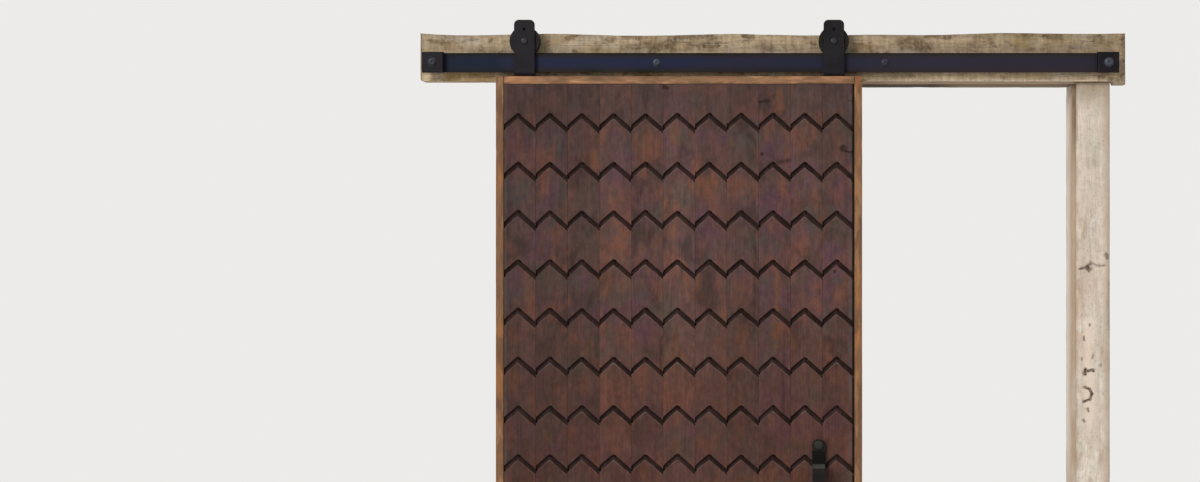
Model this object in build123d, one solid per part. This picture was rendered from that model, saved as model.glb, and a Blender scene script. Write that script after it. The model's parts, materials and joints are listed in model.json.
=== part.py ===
from build123d import *
from math import sqrt
import os

# A single sliding door that hangs on a flat steel track, with the frame of its doorway.
# Millimetres. X runs along the track to the right, Y goes back into the wall, Z is up.
# The origin is the middle of the header board's back face, so the wall plane is Y = 0.

# Doorway: three liner boards, two front casings and the header board over them
clear_width = 762.0
clear_height = 2032.0
jamb_thickness = 19.0
jamb_depth = 116.0
jamb_rabbet = 9.5
reveal = 8.0
head_reveal = 4.0
casing_width = 89.0
casing_thickness = 19.0
casing_easing = 1.5

# Header board: an old sawn board whose top edge still waves, with a heel at its right end
header_height = 124.0
header_thickness = 38.0
header_past_rail_left = 13.0
header_past_rail_right = 25.0
header_heel_drop = 8.0
header_heel_length = 31.0
header_corner_radius = 9.0
header_top_rises = [4.0, -1.0, 3.0, -1.5, -1.0, 2.5, -1.5, 0.5, -0.5, 5.0, 3.0, 4.5]

# Track: a flat bar on standoff tubes
rail_length = 1829.0
rail_height = 50.8
rail_thickness = 6.35
rail_easing = 0.8
rail_below_header_middle = 15.0
inner_lag_spacing = 600.0
spacer_length = 28.0
spacer_radius = 11.0

# Lag screws, which go through the track, the standoffs and the header into the studs
lag_radius = 4.75
lag_thread_radius = 4.2
lag_into_wall = 45.0
lag_point = 9.0
lag_clearance = 0.3
lag_head_height = 5.5
rail_lag_head_radius = 8.5
stop_lag_head_radius = 11.0
lag_socket = 7.0
lag_socket_depth = 3.2
washer_thickness = 1.5
washer_past_head = 1.5

# Domed screw heads: how much of the height is rim, how wide the flat crown is, how far the dome bulges
dome_rim_share = 0.3
dome_crown_share = 0.5
dome_bulge_share = 0.14
tip_share = 0.3

# End stops
stop_width = 56.0
stop_height = 54.0
stop_depth = 18.6
stop_easing = 2.0
stop_gap = 0.5

# Door: upright face planks on a core, edged with four strips
door_thickness = 44.0
door_cover = 2.5
strip_width = 21.0
strip_easing = 1.2
strip_proud = 3.0
hang_gap = 11.2
floor_gap = 12.0
slid_open = 664.0

# Face planks. Rows of V-grooves zigzag over them, with one tooth of each row on every plank.
plank_count = 11
plank_thickness = 14.0
plank_easing = 0.6
tooth_rise = 36.7
row_pitch = 127.9
first_row_drop = 95.4
groove_width = 9.0
groove_depth = 6.5
groove_overrun = 4.0

# Wheels
tread_radius = 30.0
flange_radius = 40.0
wheel_width = 22.0
wheel_hub_width = 15.0
hub_ring_radius = 20.0
track_side_gap = 1.1
flange_draft = 1.6
flange_easing = 1.5
running_gap = 0.3

# Ball bearing cartridge inside each wheel
bearing_radius = 13.0
bearing_width = 12.0
bearing_lip_radius = 8.3
inner_race_radius = 8.0
push_fit = 0.05

# Hangers: a flat bar that comes down over the wheel and turns back over the door's top
hanger_from_door_edge = 74.5
strap_width = 54.0
strap_thickness = 6.0
strap_top_radius = 13.0
strap_above_axle = 55.5
strap_bend_radius = 4.0
strap_easing = 0.8
foot_length = 37.0
spare_hole_above_axle = 31.0
spare_hole_radius = 4.5
strap_to_wheel = 1.5

# Axle hardware
axle_radius = 5.0
axle_clearance = 0.1
axle_head_radius = 9.0
axle_head_height = 5.0
axle_washer_radius = 7.4
axle_washer_thickness = 2.0
nut_across_flats = 16.0
nut_height = 8.0
axle_past_nut = 2.5
axle_end_taper = 1.5

# Countersunk screws through each foot into the top of the door
foot_screw_spacing = 30.0
foot_screw_head_radius = 6.0
foot_screw_radius = 3.0
foot_screw_length = 64.0
foot_screw_clearance = 0.2

# Pull handle: one flat bar, bent out and back, with round ends
handle_screws_from_seam = 10.0
handle_middle_below_door_top = 1116.0
handle_length = 330.0
handle_width = 34.0
handle_bar = 8.0
handle_reach = 55.0
handle_pad = 72.0
handle_bend_radius = 7.0
handle_easing = 1.2
handle_screw_from_end = 15.5
handle_screw_head_radius = 13.0
handle_screw_head_height = 7.5
handle_screw_radius = 3.5
handle_screw_length = 36.0
handle_screw_point = 8.0
screw_clearance = 0.2

# Floor guide: a bracket on the left casing with a fin in the door's bottom groove
guide_width = 40.0
guide_plate = 4.0
guide_height = 48.0
guide_above_floor = 2.0
fin_thickness = 5.0
fin_above_door_bottom = 11.0
guide_groove_width = 8.0
guide_groove_depth = 15.0
guide_screw_radius = 2.5
guide_screw_head_radius = 5.0
guide_screw_head_height = 2.5
guide_screw_length = 16.0
guide_screw_point = 5.0
guide_screw_spacing = 22.0
guide_screws_above_base = 29.0
fin_lead = 1.2

# Depths, from the wall towards the room
header_front = -header_thickness
rail_back = header_front - spacer_length
rail_front = rail_back - rail_thickness
rail_middle = (rail_back + rail_front) / 2
door_front = rail_middle - door_thickness / 2
door_back = rail_middle + door_thickness / 2
panel_front = door_front + strip_proud
plank_back = panel_front + plank_thickness
wheel_front = rail_middle - wheel_width / 2
strap_back = wheel_front - strap_to_wheel
strap_front = strap_back - strap_thickness

# Heights
header_top = header_height / 2
header_bottom = -header_height / 2
rail_z = -rail_below_header_middle
rail_top = rail_z + rail_height / 2
axle_z = rail_top + running_gap + tread_radius
soffit = header_bottom - head_reveal
floor = soffit - clear_height
door_top = rail_z - rail_height / 2 - hang_gap
door_bottom = floor + floor_gap
panel_top = door_top - strip_width
panel_bottom = door_bottom + strip_width

# Places along the track
header_length = header_past_rail_left + rail_length + header_past_rail_right
rail_left = header_past_rail_left - header_length / 2
rail_right = rail_left + rail_length
rail_x = (rail_left + rail_right) / 2
stop_places = [rail_left + stop_width / 2, rail_right - stop_width / 2]
inner_lag_places = [rail_x - inner_lag_spacing / 2, rail_x + inner_lag_spacing / 2]

# The door is closed when its right wheel meets the right stop, and the doorway is centred on it there.
door_width = clear_width + 2 * (reveal + casing_width + door_cover)
hanger_from_door_middle = door_width / 2 - hanger_from_door_edge
flange_drop = axle_z - (rail_z + stop_height / 2)
flange_reach = sqrt(flange_radius ** 2 - flange_drop ** 2)
closed_x = rail_right - stop_width - stop_gap - flange_reach - hanger_from_door_middle
door_x = closed_x - slid_open
door_left = door_x - door_width / 2
door_right = door_x + door_width / 2
panel_left = door_left + strip_width
panel_right = door_right - strip_width
plank_width = (panel_right - panel_left) / plank_count
hanger_places = [door_x - hanger_from_door_middle, door_x + hanger_from_door_middle]
doorway_left = closed_x - clear_width / 2
doorway_right = closed_x + clear_width / 2
guide_x = doorway_left - reveal - casing_width / 2
handle_x = panel_right - plank_width - handle_screws_from_seam
handle_middle = door_top - handle_middle_below_door_top
handle_top = handle_middle + handle_length / 2
handle_bottom = handle_middle - handle_length / 2
handle_screw_levels = [handle_top - handle_screw_from_end, handle_bottom + handle_screw_from_end]


def block(x, y, z):
    """A square block between a pair of values on each axis."""
    middle = [(low + high) / 2 for low, high in (x, y, z)]
    return Pos(*middle) * Box(*[abs(high - low) for low, high in (x, y, z)])


def rod(x, z, front, back, radius):
    """A round bar along Y from front to back."""
    return Pos(x, (front + back) / 2, z) * Rot(90, 0, 0) * Cylinder(radius, back - front)


def tube(x, z, front, back, radius, bore):
    """A round tube along Y."""
    return rod(x, z, front, back, radius) - rod(x, z, front, back, bore)


def turned(x, z, outline):
    """A solid turned about a line along Y, from a closed outline of radius and y."""
    return Pos(x, 0, z) * revolve(make_face(outline), Axis.Y)


def eased(solid, axis, amount):
    """The solid with its long edges along one axis taken off."""
    return chamfer(solid.edges().filter_by(axis), amount)


def header_board():
    span = header_length / (len(header_top_rises) - 1)
    crest = [
        (-header_length / 2 + i * span, header_top + rise)
        for i, rise in enumerate(header_top_rises)
    ]
    heel = header_bottom - header_heel_drop
    heel_start = header_length / 2 - header_heel_length
    underside = [
        (header_length / 2, heel),
        (heel_start, heel),
        (heel_start - header_heel_drop / 2, header_bottom),
        (-header_length / 2, header_bottom),
    ]
    ends = Polyline(crest[-1], *underside, crest[0])
    outline = Plane.XZ * make_face(Spline(*crest) + ends)
    board = extrude(outline, header_thickness)
    lower_left = board.edges().filter_by(Axis.Y).sort_by_distance(
        (-header_length / 2, -header_thickness / 2, header_bottom)
    )
    board = fillet(lower_left[0], header_corner_radius)
    for x in inner_lag_places + stop_places:
        board -= rod(x, rail_z, header_front, 0, lag_radius + lag_clearance)
    return board


def track_rail():
    bar = block(
        (rail_left, rail_right),
        (rail_front, rail_back),
        (rail_z - rail_height / 2, rail_z + rail_height / 2),
    )
    bar = eased(bar, Axis.X, rail_easing)
    for x in inner_lag_places + stop_places:
        bar -= rod(x, rail_z, rail_front, rail_back, lag_radius + lag_clearance)
    return bar


def standoff(x):
    return tube(x, rail_z, rail_back, header_front, spacer_radius, lag_radius + lag_clearance)


def pointed_shank(radius, start, end, point):
    """Outline of a shank along Y from its end, which tapers over point, back to its start."""
    return [(0, end), (radius * tip_share, end), (radius, end - point), (radius, start)]


def domed_screw(x, z, seat, head_radius, head_height, shank):
    """A screw along Y: a domed head that seats at Y = seat on a shank of the given outline."""
    top = seat - head_height
    rim = seat - head_height * dome_rim_share
    crown = head_radius * dome_crown_share
    bulge = head_height * dome_bulge_share
    dome = ThreePointArc(
        (head_radius, rim),
        ((head_radius + crown) / 2 + bulge, (rim + top) / 2 - bulge),
        (crown, top),
    )
    sides = Polyline((crown, top), (0, top), *shank, (head_radius, seat), (head_radius, rim))
    return turned(x, z, dome + sides)


def lag_screw(x, seat, head_radius):
    """A button-head lag screw with a hex socket. Its thread starts at the header's back."""
    thread = pointed_shank(lag_thread_radius, 0, lag_into_wall, lag_point)
    shank = [*thread, (lag_radius, 0), (lag_radius, seat)]
    screw = domed_screw(x, rail_z, seat, head_radius, lag_head_height, shank)
    socket = extrude(RegularPolygon(lag_socket / 2, 6, major_radius=False), lag_socket_depth)
    return screw - Pos(x, seat - lag_head_height, rail_z) * Rot(-90, 0, 0) * socket


def washer(x, seat, radius):
    return tube(x, rail_z, seat - washer_thickness, seat, radius, lag_radius + lag_clearance)


def end_stop(x):
    stop = block(
        (x - stop_width / 2, x + stop_width / 2),
        (rail_front - stop_depth, rail_front),
        (rail_z - stop_height / 2, rail_z + stop_height / 2),
    )
    front_edges = stop.faces().sort_by(Axis.Y)[0].edges()
    stop = fillet(front_edges, stop_easing)
    return stop - rod(x, rail_z, rail_front - stop_depth, rail_front, lag_radius + lag_clearance)


def casing(inner_edge, side):
    """A front casing board, on the left (side -1) or right (side 1) of the doorway."""
    board = block(
        sorted((inner_edge, inner_edge + side * casing_width)),
        (-casing_thickness, 0),
        (floor, header_bottom),
    )
    front_face = board.faces().sort_by(Axis.Y)[0]
    return chamfer(front_face.edges().filter_by(Axis.Z), casing_easing)


def side_jamb(inner_face, side):
    """A side liner, rabbeted at its top to carry the head liner."""
    board = block(
        sorted((inner_face, inner_face + side * jamb_thickness)),
        (0, jamb_depth),
        (floor, soffit + jamb_thickness),
    )
    rabbet = block(
        sorted((inner_face, inner_face + side * jamb_rabbet)),
        (0, jamb_depth),
        (soffit, soffit + jamb_thickness),
    )
    return board - rabbet


def head_jamb():
    return block(
        (doorway_left - jamb_rabbet, doorway_right + jamb_rabbet),
        (0, jamb_depth),
        (soffit, soffit + jamb_thickness),
    )


def guide_screw_levels():
    middle = floor + guide_above_floor + guide_screws_above_base
    return [middle - guide_screw_spacing / 2, middle + guide_screw_spacing / 2]


def floor_guide():
    """A bent foot under the door with a fin that stands in the door's bottom groove."""
    base = floor + guide_above_floor
    x = (guide_x - guide_width / 2, guide_x + guide_width / 2)
    fin_front = rail_middle - fin_thickness / 2
    fin_back = rail_middle + fin_thickness / 2
    plate = block(x, (-casing_thickness - guide_plate, -casing_thickness), (base, base + guide_height))
    foot = block(x, (fin_front, -casing_thickness), (base, base + guide_plate))
    fin = block(x, (fin_front, fin_back), (base, door_bottom + fin_above_door_bottom))
    fin = chamfer(fin.faces().sort_by(Axis.Z)[-1].edges().filter_by(Axis.X), fin_lead)
    guide = plate + foot + fin
    for hole in guide_screw_holes(-casing_thickness - guide_plate, -casing_thickness):
        guide -= hole
    return guide


def guide_screw(z):
    """A screw through the guide's plate into the casing."""
    seat = -casing_thickness - guide_plate
    shank = pointed_shank(guide_screw_radius, seat, seat + guide_screw_length, guide_screw_point)
    return domed_screw(guide_x, z, seat, guide_screw_head_radius, guide_screw_head_height, shank)


def guide_screw_holes(front, back):
    radius = guide_screw_radius + screw_clearance
    return [rod(guide_x, z, front, back, radius) for z in guide_screw_levels()]


def row_levels():
    """Middle heights of the sawtooth rows, from the top down."""
    levels = []
    level = panel_top - first_row_drop
    while level > panel_bottom + row_pitch / 2:
        levels.append(level)
        level -= row_pitch
    return levels


def groove(start, end):
    """A V-groove in the face between two places, given as (x, z), and a little past the second."""
    line = Vector(end[0] - start[0], 0, end[1] - start[1])
    profile = Plane((start[0], panel_front, start[1]), x_dir=(0, 1, 0), z_dir=line) * make_face(
        Polyline(
            (groove_depth, 0),
            (-groove_depth, groove_width),
            (-groove_depth, -groove_width),
            close=True,
        )
    )
    return extrude(profile, line.length + groove_overrun, dir=line)


def plank():
    """A face plank with a chevron at each row. At its left edge the groove of the next plank runs in."""
    board = block((0, plank_width), (panel_front, plank_back), (panel_bottom, panel_top))
    front_edges = board.faces().sort_by(Axis.Y)[0].edges().filter_by(Axis.Z)
    board = chamfer(front_edges, plank_easing)
    for level in row_levels():
        peak = level + tooth_rise / 2
        valley = level - tooth_rise / 2
        board -= groove((-plank_width / 2, valley - tooth_rise), (plank_width / 2, peak))
        board -= groove((plank_width * 3 / 2, valley - tooth_rise), (plank_width / 2, peak))
        board -= groove((-plank_width / 2, peak), (0, valley))
    return board


def handle_screw_holes(front, back):
    radius = handle_screw_radius + screw_clearance
    return [rod(handle_x, z, front, back, radius) for z in handle_screw_levels]


def planks():
    """The face planks from left to right. The pull's screws go through the last but one."""
    board = plank()
    boards = [Pos(panel_left + i * plank_width, 0, 0) * board for i in range(plank_count)]
    for hole in handle_screw_holes(panel_front, plank_back):
        boards[-2] -= hole
    return boards


def foot_screw_places():
    return [
        (x + side * foot_screw_spacing / 2, foot_screw_y())
        for x in hanger_places
        for side in (-1, 1)
    ]


def foot_screw_y():
    """The screws stand behind the strap, in the middle of the foot's flat."""
    flat_start = strap_back + strap_bend_radius
    return (flat_start + strap_front + foot_length) / 2


def foot_screw(x, y):
    """A countersunk screw down through the foot into the door."""
    top = door_top + strap_thickness
    neck = top - (foot_screw_head_radius - foot_screw_radius)
    end = top - foot_screw_length
    outline = [
        (0, top),
        (foot_screw_head_radius, top),
        (foot_screw_radius, neck),
        (foot_screw_radius, end + foot_screw_radius * 2),
        (0, end),
    ]
    face = Plane.XZ * make_face(Polyline(*outline, close=True))
    return Pos(x, y, 0) * revolve(face, Axis.Z)


def foot_screw_hole(x, y):
    return Pos(x, y, door_top + strap_thickness - foot_screw_length / 2) * Cylinder(
        foot_screw_radius + foot_screw_clearance, foot_screw_length
    )


def guide_groove():
    return block(
        (door_left, door_right),
        (rail_middle - guide_groove_width / 2, rail_middle + guide_groove_width / 2),
        (door_bottom, door_bottom + guide_groove_depth),
    )


def door_core():
    core = block((panel_left, panel_right), (plank_back, door_back), (panel_bottom, panel_top))
    for x, y in foot_screw_places():
        core -= foot_screw_hole(x, y)
    for hole in handle_screw_holes(plank_back, panel_front + handle_screw_length):
        core -= hole
    return core - guide_groove()


def top_strip():
    strip = block((panel_left, panel_right), (door_front, door_back), (panel_top, door_top))
    strip = eased(strip, Axis.X, strip_easing)
    for x, y in foot_screw_places():
        strip -= foot_screw_hole(x, y)
    return strip


def bottom_strip():
    strip = block((panel_left, panel_right), (door_front, door_back), (door_bottom, panel_bottom))
    return eased(strip, Axis.X, strip_easing) - guide_groove()


def side_strip(outer, inner):
    strip = block(sorted((outer, inner)), (door_front, door_back), (door_bottom, door_top))
    return eased(strip, Axis.Z, strip_easing) - guide_groove()


def hanger_strap(x):
    """A bent flat bar with a round-cornered top, an axle hole and one spare hole."""
    top = axle_z + strap_above_axle
    turn = strap_bend_radius + strap_thickness
    bar_middle = (strap_front + strap_back) / 2
    foot_middle = door_top + strap_thickness / 2
    path = FilletPolyline(
        (bar_middle, top),
        (bar_middle, foot_middle),
        (strap_front + foot_length, foot_middle),
        radius=turn - strap_thickness / 2,
    )
    side_view = Plane.YZ.offset(x - strap_width / 2) * trace(path, strap_thickness)
    strap = extrude(side_view, strap_width)
    top_corners = strap.edges().filter_by(Axis.Y).group_by(Axis.Z)[-1]
    strap = fillet(top_corners, strap_top_radius)
    front_rim = strap.faces().filter_by(Axis.Y).sort_by(Axis.Y)[0].edges()
    strap = chamfer(front_rim.filter_by(Axis.X, reverse=True), strap_easing)
    strap -= rod(x, axle_z, strap_front, strap_back, axle_radius + axle_clearance)
    strap -= rod(x, axle_z + spare_hole_above_axle, strap_front, strap_back, spare_hole_radius)
    sink_depth = foot_screw_head_radius - foot_screw_radius
    sink = Cone(foot_screw_radius, foot_screw_head_radius, sink_depth)
    for side in (-1, 1):
        place = Pos(x + side * foot_screw_spacing / 2, foot_screw_y(), 0)
        strap -= place * Pos(0, 0, door_top + strap_thickness / 2) * Cylinder(
            foot_screw_radius + foot_screw_clearance, strap_thickness
        )
        strap -= place * Pos(0, 0, door_top + strap_thickness - sink_depth / 2) * sink
    return strap


def wheel(x):
    """A grooved wheel: flanges either side of the track, a dished web and a bearing bore."""
    half = wheel_width / 2
    hub = wheel_hub_width / 2
    track_room = rail_thickness / 2 + track_side_gap
    bore = bearing_radius + push_fit
    dish = (hub_ring_radius + tread_radius) / 2 + half - hub
    front_half = [
        (bore, hub),
        (hub_ring_radius, hub),
        (dish - (half - hub), hub),
        (dish, half),
        (flange_radius - flange_easing, half),
        (flange_radius, half - flange_easing),
        (flange_radius, track_room + flange_draft),
        (tread_radius, track_room),
    ]
    outline = front_half + [(radius, -y) for radius, y in reversed(front_half)]
    return Pos(0, rail_middle, 0) * turned(x, axle_z, Polyline(*outline, close=True))


def bearing_outer(x):
    """Outer ring of the sealed bearing, with the seal lips that reach in to the inner race."""
    half = bearing_width / 2
    return tube(x, axle_z, rail_middle - half, rail_middle + half, bearing_radius, bearing_lip_radius)


def inner_race(x):
    half = wheel_hub_width / 2
    bore = axle_radius + axle_clearance
    return tube(x, axle_z, rail_middle - half, rail_middle + half, inner_race_radius, bore)


def axle_spacer(x):
    """The sleeve between the strap and the inner race."""
    back = rail_middle - wheel_hub_width / 2
    return tube(x, axle_z, strap_back, back, axle_washer_radius, axle_radius + axle_clearance)


def axle_washer(x):
    front = rail_middle + wheel_hub_width / 2
    back = front + axle_washer_thickness
    return tube(x, axle_z, front, back, axle_washer_radius, axle_radius + axle_clearance)


def axle_nut(x):
    front = rail_middle + wheel_hub_width / 2 + axle_washer_thickness
    hexagon = extrude(RegularPolygon(nut_across_flats / 2, 6, major_radius=False), nut_height)
    nut = Pos(x, front, axle_z) * Rot(-90, 0, 0) * hexagon
    return nut - rod(x, axle_z, front, front + nut_height, axle_radius + axle_clearance)


def axle_bolt(x):
    """A domed bolt through the strap, the bearing, the washer and the nut."""
    end = rail_middle + wheel_hub_width / 2 + axle_washer_thickness + nut_height + axle_past_nut
    shank = pointed_shank(axle_radius, strap_front, end, axle_end_taper)
    return domed_screw(x, axle_z, strap_front, axle_head_radius, axle_head_height, shank)


def pull_handle():
    """A flat bar bent out from a pad, down as the grip and back to a pad, with round ends."""
    pad_middle = panel_front - handle_bar / 2
    grip_middle = panel_front - handle_reach + handle_bar / 2
    path = FilletPolyline(
        (pad_middle, handle_top),
        (pad_middle, handle_top - handle_pad),
        (grip_middle, handle_top - handle_pad),
        (grip_middle, handle_bottom + handle_pad),
        (pad_middle, handle_bottom + handle_pad),
        (pad_middle, handle_bottom),
        radius=handle_bend_radius + handle_bar / 2,
    )
    side_view = Plane.YZ.offset(handle_x - handle_width / 2) * trace(path, handle_bar)
    bar = extrude(side_view, handle_width)
    door_face = Plane((handle_x, panel_front, handle_middle), x_dir=(0, 0, 1), z_dir=(0, -1, 0))
    round_ends = door_face * SlotOverall(handle_length, handle_width)
    bar &= extrude(round_ends, handle_reach)
    long_edges = bar.faces().filter_by(Axis.X).edges().filter_by(Axis.Y, reverse=True)
    end_edges = bar.edges().filter_by(Plane.XZ).filter_by(GeomType.CIRCLE)
    bar = chamfer(long_edges + end_edges, handle_easing)
    for hole in handle_screw_holes(panel_front - handle_bar, panel_front):
        bar -= hole
    return bar


def handle_screw(z):
    """A domed screw through one pad of the handle into the door."""
    seat = panel_front - handle_bar
    end = panel_front + handle_screw_length
    shank = pointed_shank(handle_screw_radius, seat, end, handle_screw_point)
    return domed_screw(handle_x, z, seat, handle_screw_head_radius, handle_screw_head_height, shank)


def group(pieces):
    """Like pieces kept as separate solids in one node."""
    return Compound(children=list(pieces))


def casing_with_guide_holes():
    board = casing(doorway_left - reveal, -1)
    tip = guide_screw_length - casing_thickness - guide_plate
    for hole in guide_screw_holes(-casing_thickness, tip):
        board -= hole
    return board


def frame_pieces():
    lag_places = inner_lag_places + stop_places
    stop_seat = rail_front - stop_depth
    return {
        "header_board": header_board(),
        "track_rail": track_rail(),
        "standoff_spacers": group(standoff(x) for x in lag_places),
        "rail_lag_screws": group(
            lag_screw(x, rail_front - washer_thickness, rail_lag_head_radius) for x in inner_lag_places
        ),
        "rail_washers": group(
            washer(x, rail_front, rail_lag_head_radius + washer_past_head) for x in inner_lag_places
        ),
        "stop_lag_screws": group(
            lag_screw(x, stop_seat - washer_thickness, stop_lag_head_radius) for x in stop_places
        ),
        "stop_washers": group(
            washer(x, stop_seat, stop_lag_head_radius + washer_past_head) for x in stop_places
        ),
        "end_stop_left": end_stop(stop_places[0]),
        "end_stop_right": end_stop(stop_places[1]),
        "casing_left": casing_with_guide_holes(),
        "casing_right": casing(doorway_right + reveal, 1),
        "jamb_left": side_jamb(doorway_left, -1),
        "jamb_right": side_jamb(doorway_right, 1),
        "jamb_head": head_jamb(),
        "floor_guide": floor_guide(),
        "guide_screws": group(guide_screw(z) for z in guide_screw_levels()),
    }


def door_pieces():
    pieces = {
        "door_core": door_core(),
        "edge_strip_top": top_strip(),
        "edge_strip_bottom": bottom_strip(),
        "edge_strip_left": side_strip(door_left, panel_left),
        "edge_strip_right": side_strip(door_right, panel_right),
        "hanger_strap_left": hanger_strap(hanger_places[0]),
        "hanger_strap_right": hanger_strap(hanger_places[1]),
        "hanger_screws": group(foot_screw(x, y) for x, y in foot_screw_places()),
        "axle_bolts": group(axle_bolt(x) for x in hanger_places),
        "axle_spacers": group(axle_spacer(x) for x in hanger_places),
        "axle_washers": group(axle_washer(x) for x in hanger_places),
        "axle_nuts": group(axle_nut(x) for x in hanger_places),
        "bearing_inner_races": group(inner_race(x) for x in hanger_places),
        "pull_handle": pull_handle(),
        "handle_screws": group(handle_screw(z) for z in handle_screw_levels),
    }
    for number, board in enumerate(planks(), start=1):
        pieces[f"plank_{number:02d}"] = board
    return pieces


def wheel_pieces():
    pieces = {}
    for side, x in zip(("left", "right"), hanger_places):
        pieces[f"wheel_{side}"] = wheel(x)
        pieces[f"wheel_bearing_{side}"] = bearing_outer(x)
    return pieces


os.makedirs("parts", exist_ok=True)
for name, shape in {**frame_pieces(), **door_pieces(), **wheel_pieces()}.items():
    export_step(shape, f"parts/{name}.step")
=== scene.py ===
import json
import math

import bmesh
import bpy
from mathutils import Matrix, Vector, noise

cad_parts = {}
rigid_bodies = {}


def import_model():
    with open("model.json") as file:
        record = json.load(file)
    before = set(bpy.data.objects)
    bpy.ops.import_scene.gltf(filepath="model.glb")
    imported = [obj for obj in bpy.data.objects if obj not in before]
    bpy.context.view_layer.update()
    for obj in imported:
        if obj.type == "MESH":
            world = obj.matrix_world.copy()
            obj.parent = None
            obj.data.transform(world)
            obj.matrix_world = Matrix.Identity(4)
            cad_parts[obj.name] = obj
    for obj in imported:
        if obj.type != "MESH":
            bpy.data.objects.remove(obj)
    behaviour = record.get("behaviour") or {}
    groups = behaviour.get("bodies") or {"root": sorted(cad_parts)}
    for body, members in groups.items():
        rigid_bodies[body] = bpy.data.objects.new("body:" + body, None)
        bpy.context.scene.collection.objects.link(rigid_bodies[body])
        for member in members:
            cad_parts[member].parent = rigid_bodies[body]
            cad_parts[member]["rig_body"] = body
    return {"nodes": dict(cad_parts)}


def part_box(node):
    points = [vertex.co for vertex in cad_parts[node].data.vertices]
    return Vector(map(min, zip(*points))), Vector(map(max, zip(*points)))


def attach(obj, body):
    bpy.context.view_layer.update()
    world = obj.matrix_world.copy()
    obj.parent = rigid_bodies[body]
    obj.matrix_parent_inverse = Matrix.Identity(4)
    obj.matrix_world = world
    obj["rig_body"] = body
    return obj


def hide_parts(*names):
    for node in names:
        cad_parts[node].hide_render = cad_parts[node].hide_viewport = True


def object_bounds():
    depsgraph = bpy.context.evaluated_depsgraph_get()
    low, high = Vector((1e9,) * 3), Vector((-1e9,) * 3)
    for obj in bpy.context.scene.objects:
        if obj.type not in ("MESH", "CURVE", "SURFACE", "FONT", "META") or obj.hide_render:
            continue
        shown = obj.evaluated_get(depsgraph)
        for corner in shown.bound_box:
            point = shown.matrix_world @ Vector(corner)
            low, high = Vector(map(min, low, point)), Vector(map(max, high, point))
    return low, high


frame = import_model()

# The looks of a sliding barn door and its frame. Metres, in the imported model's own frame:
# X along the track to the right, Y back into the wall, Z up. Colours are written as display
# values from 0 to 255.

cad_low, cad_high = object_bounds()
nodes = frame["nodes"]
planks = sorted(name for name in nodes if name.startswith("plank_"))

# Camera, where the photograph was taken from
camera_place = (0.0189, -5.091, -0.4842)
camera_lens = 57.24
camera_shift = -0.15

# Light
background = (236, 235, 233)
sky_strength = 0.60
key_power = 430.0
key_place = (-4.6, -6.6, 3.0)
key_size = 3.2
fill_power = 45.0
fill_place = (3.5, 4.5, 3.0)
fill_size = 3.0
floor_radius = 5.0
floor_colour = (226, 224, 221)

# The header's lower edge, and the face of the door
header_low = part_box("casing_right")[1].z
face_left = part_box(planks[0])[0].x
face_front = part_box(planks[0])[0].y
face_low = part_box(planks[0])[0].z
face_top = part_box(planks[0])[1].z
plank_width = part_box(planks[0])[1].x - face_left
face_right = face_left + plank_width * len(planks)

# The carved rows: a zigzag with one tooth to a plank, as the CAD has it. Here the strokes are cut
# wider, upwards and downwards, and the falling ones lie lower. Heights are taken straight up.
row_drop = 0.0954
row_pitch = 0.1279
tooth_rise = 0.0367
groove_depth = 0.0065
stroke_half = 0.0060
stroke_fade = 0.034
rising_up = 0.0019
falling_up = 0.0031
wider_down = 0.0044
falling_drop = 0.0087
falling_start = 0.43
falling_full = 0.50
stroke_end_fade = 0.05

# How the strokes vary: each waver of their height, their step from plank to plank and row to row,
# and the drift of their width, with the scale and the seed of its noise
waver_most = 0.0012
waver_finer = 14.0
waver_seed = 9.1
step_by_plank = 7.1
step_by_row = 0.9
drift_share = 0.5
drift_finer = 9.0
drift_seed = 3.7

# The planks' eased edges keep this share at the seams. A narrow rebate ends the face at its right.
seam_share = 0.12
rebate_width = 0.0055
rebate_depth = 0.003
rebate_edge = 0.001

# Angles between faces: up to the first they merge, above the second they are rounded, from the
# third on they count as an edge in full, and above the last the shading breaks
flat_angle = math.radians(0.5)
sharp_angle = math.radians(30)
full_edge_angle = math.radians(25)
smooth_angle = math.radians(35)
weld_distance = 1e-6

# Wear of all boards: the noise scales of the slow unevenness, how much finer the grit is than
# that, and the scale of the chips along the edges
slow_along = 5.0
slow_across = 22.0
grit_finer = 9.0
chip_finer = 38.0
chip_bias = 0.1

# Marks, in shares of their radius: how far they reach and how ragged their outlines are. The mesh
# is cut to the lengths in turn around a dent. The depths are how far behind the front they work.
mark_colour_reach = 1.8
mark_dent_reach = 1.3
mark_cut_reach = 1.5
mark_ragged = 0.6
mark_ragged_finer = 0.35
mark_colour_end = 1.35
mark_dent_end = 1.2
mark_cut_lengths = (0.005, 0.0025, 0.0013)
mark_colour_depth = 0.006
mark_dent_depth = 0.003

# Brightness of each plank beside the others
plank_gains = [0.87, 0.86, 0.88, 0.98, 0.98, 1.03, 0.99, 0.96, 0.97, 0.99, 0.97]

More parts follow.
